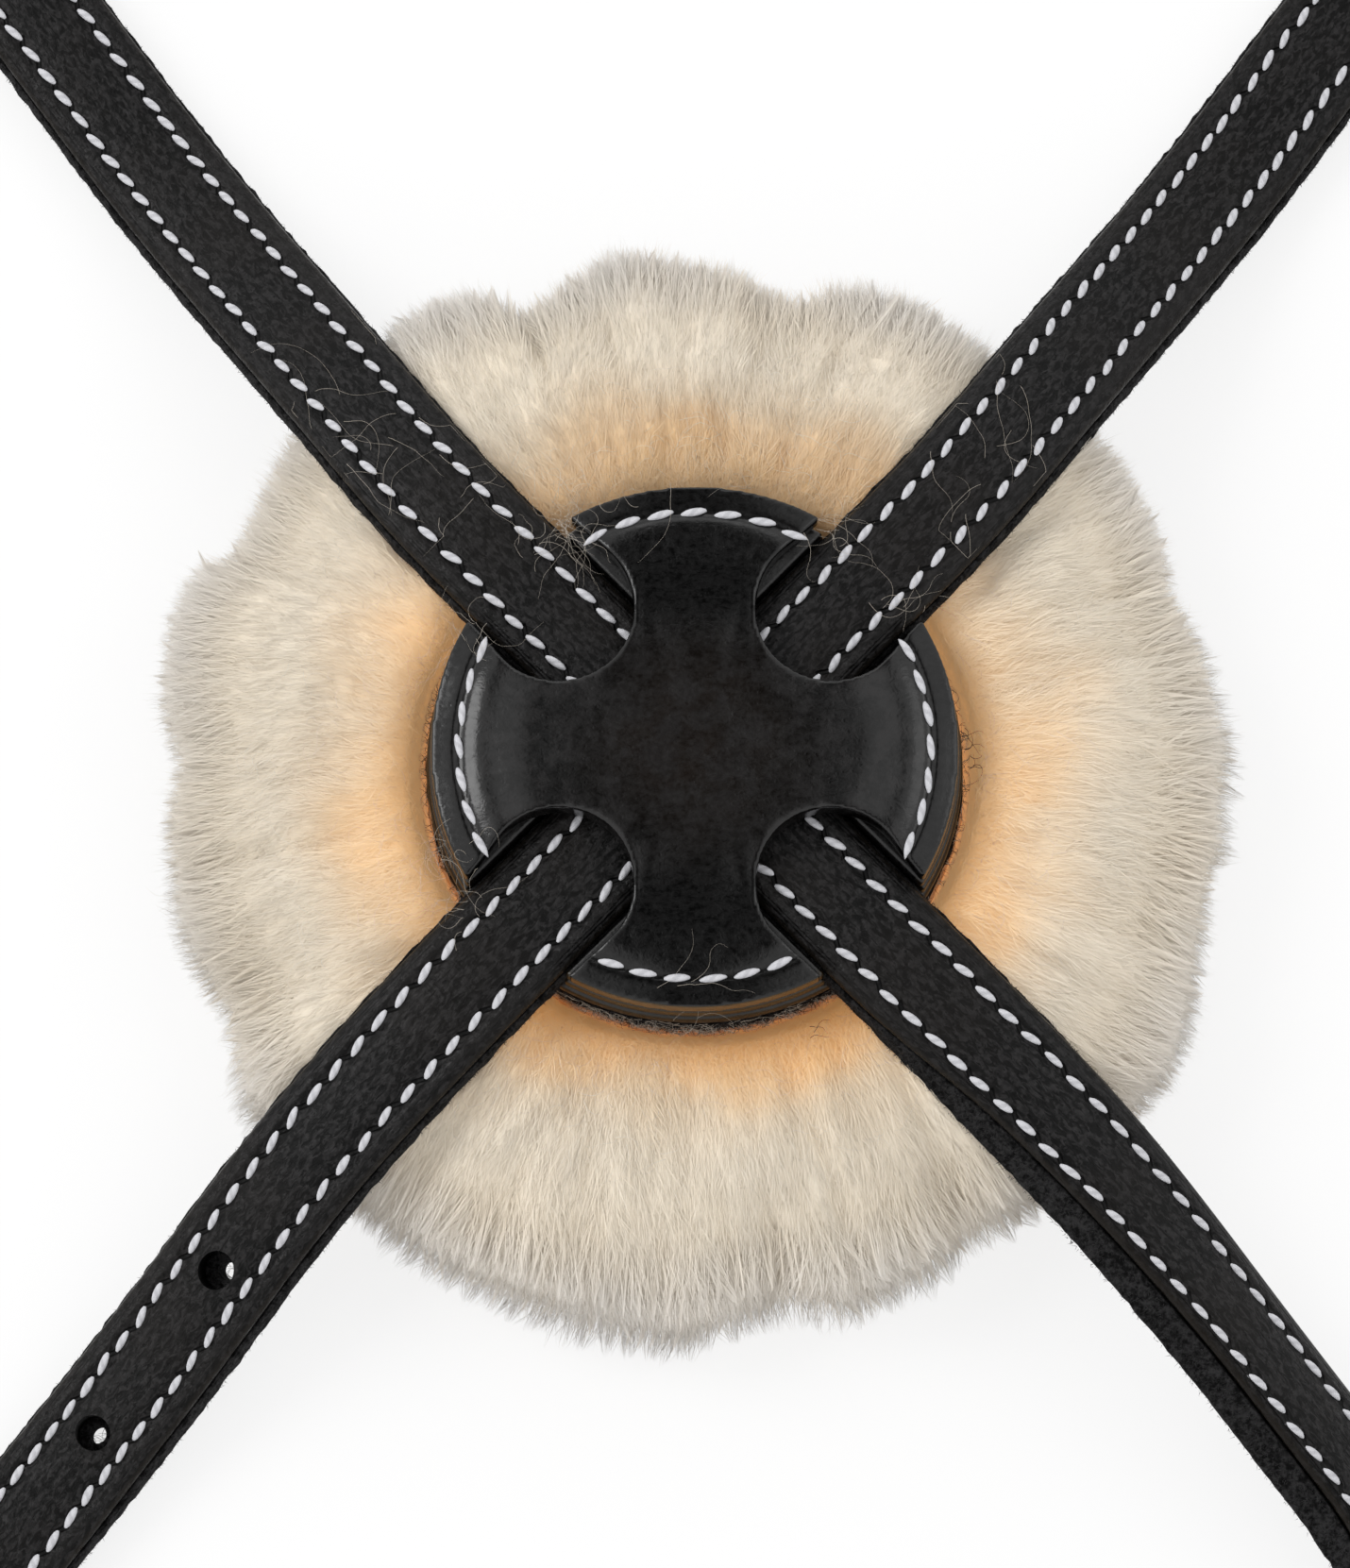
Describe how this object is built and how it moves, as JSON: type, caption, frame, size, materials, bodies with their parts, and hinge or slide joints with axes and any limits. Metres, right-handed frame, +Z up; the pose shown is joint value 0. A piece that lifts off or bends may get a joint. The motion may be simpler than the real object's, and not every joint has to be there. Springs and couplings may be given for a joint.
{
  "type": "figure eight noseband",
  "caption": "Laid-flat figure eight noseband: straps crossing in a stitched leather rosette on a fleece pad, with cheek rings, jaw straps and a chin strap.",
  "frame": {"origin": "centre of the rosette, on the plane that the fleece pad rests on", "axes": "+Z up from the resting plane through the rosette, +Y from the pad towards the cheek rings, +X towards the buckle straps' side"},
  "size_m": [0.4189, 0.5139, 0.0273],
  "materials": {
    "black_leather": "satin, fine grain",
    "black_suede": "napped",
    "cream_fleece": "dense wool",
    "fleece_hide": "matte",
    "polished_steel": "polished"
  },
  "bodies": {
    "rosette": {"rosette_cover": "black_leather", "rosette_spacer_top": "black_leather", "rosette_spacer_right": "black_leather", "rosette_spacer_bottom": "black_leather", "rosette_spacer_left": "black_leather", "rosette_backing": "black_leather", "rosette_underlay": "black_suede", "cross_strap_over": "black_leather", "cross_strap_under": "black_leather", "sheepskin_hide": "fleece_hide", "sheepskin_wool": "cream_fleece"},
    "upper_left_arm": {"upper_left_face": "black_leather", "upper_left_lining": "black_suede"},
    "upper_right_arm": {"upper_right_face": "black_leather", "upper_right_lining": "black_suede"},
    "chin_billet_arm": {"chin_billet_face": "black_leather", "chin_billet_lining": "black_suede"},
    "chin_buckle_arm": {"chin_strap_face": "black_leather", "chin_strap_lining": "black_suede", "chin_fixed_keeper": "black_leather"},
    "cheek_ring_left": {"cheek_ring_left": "polished_steel"},
    "cheek_ring_right": {"cheek_ring_right": "polished_steel"},
    "jaw_billet_strap": {"jaw_billet_face": "black_leather", "jaw_billet_lining": "black_suede"},
    "jaw_buckle_strap": {"jaw_strap_face": "black_leather", "jaw_strap_lining": "black_suede", "jaw_fixed_keeper": "black_leather"},
    "chin_buckle_frame": {"chin_buckle_frame": "polished_steel"},
    "chin_buckle_tongue": {"chin_buckle_tongue": "polished_steel"},
    "chin_runner": {"chin_runner": "black_leather"},
    "jaw_buckle_frame": {"jaw_buckle_frame": "polished_steel"},
    "jaw_buckle_tongue": {"jaw_buckle_tongue": "polished_steel"},
    "jaw_runner": {"jaw_runner": "black_leather"}
  },
  "joints": [
    {"name": "upper_left_arm_fold", "type": "hinge", "parent": "rosette", "child": "upper_left_arm", "pos_m": [-0.02118, 0.02194, 0.02165], "axis": [0.7223, 0.6916, 0], "range_deg": [-30, 60], "deforming": ["sheepskin_wool"]},
    {"name": "upper_right_arm_fold", "type": "hinge", "parent": "rosette", "child": "upper_right_arm", "pos_m": [0.02118, 0.02194, 0.02165], "axis": [0.7223, -0.6916, 0], "range_deg": [-30, 60], "deforming": ["sheepskin_wool"]},
    {"name": "chin_billet_arm_fold", "type": "hinge", "parent": "rosette", "child": "chin_billet_arm", "pos_m": [-0.02119, -0.02194, 0.02165], "axis": [-0.7193, 0.6947, 0], "range_deg": [-30, 60], "deforming": ["sheepskin_wool"]},
    {"name": "chin_buckle_arm_fold", "type": "hinge", "parent": "rosette", "child": "chin_buckle_arm", "pos_m": [0.02119, -0.02194, 0.02165], "axis": [-0.7193, -0.6947, 0], "range_deg": [-30, 60], "deforming": ["sheepskin_wool"]},
    {"name": "cheek_ring_left_tilt", "type": "hinge", "parent": "upper_left_arm", "child": "cheek_ring_left", "pos_m": [-0.11638, 0.15071, 0.005], "axis": [0.809, 0.5878, 0], "range_deg": [-45, 45]},
    {"name": "jaw_billet_strap_swivel", "type": "hinge", "parent": "cheek_ring_left", "child": "jaw_billet_strap", "pos_m": [-0.12538, 0.16309, 0.005], "axis": [0, 0, 1], "range_deg": [-4, 110]},
    {"name": "cheek_ring_right_tilt", "type": "hinge", "parent": "upper_right_arm", "child": "cheek_ring_right", "pos_m": [0.11638, 0.15071, 0.005], "axis": [0.809, -0.5878, 0], "range_deg": [-45, 45]},
    {"name": "jaw_buckle_strap_swivel", "type": "hinge", "parent": "cheek_ring_right", "child": "jaw_buckle_strap", "pos_m": [0.12538, 0.16309, 0.005], "axis": [0, 0, 1], "range_deg": [-4, 110]},
    {"name": "chin_buckle_frame_tilt", "type": "hinge", "parent": "chin_buckle_arm", "child": "chin_buckle_frame", "pos_m": [0.12344, -0.14426, 0.0058], "axis": [-0.7771, -0.6293, 0], "range_deg": [-10, 60]},
    {"name": "chin_buckle_tongue_lift", "type": "hinge", "parent": "chin_buckle_frame", "child": "chin_buckle_tongue", "pos_m": [0.12344, -0.14426, 0.0058], "axis": [-0.7771, -0.6293, 0], "range_deg": [0, 75]},
    {"name": "chin_runner_slide", "type": "slide", "parent": "chin_buckle_arm", "child": "chin_runner", "axis": [0.6293, -0.7771, 0], "range_m": [-0.014, 0.0055]},
    {"name": "jaw_buckle_frame_tilt", "type": "hinge", "parent": "jaw_buckle_strap", "child": "jaw_buckle_frame", "pos_m": [0.20958, 0.06274, 0.0058], "axis": [-0.766, -0.6428, 0], "range_deg": [-10, 60]},
    {"name": "jaw_buckle_tongue_lift", "type": "hinge", "parent": "jaw_buckle_frame", "child": "jaw_buckle_tongue", "pos_m": [0.20958, 0.06274, 0.0058], "axis": [-0.766, -0.6428, 0], "range_deg": [0, 75]},
    {"name": "jaw_runner_slide", "type": "slide", "parent": "jaw_buckle_strap", "child": "jaw_runner", "axis": [0.6428, -0.766, 0], "range_m": [-0.014, 0.0055]}
  ]
}
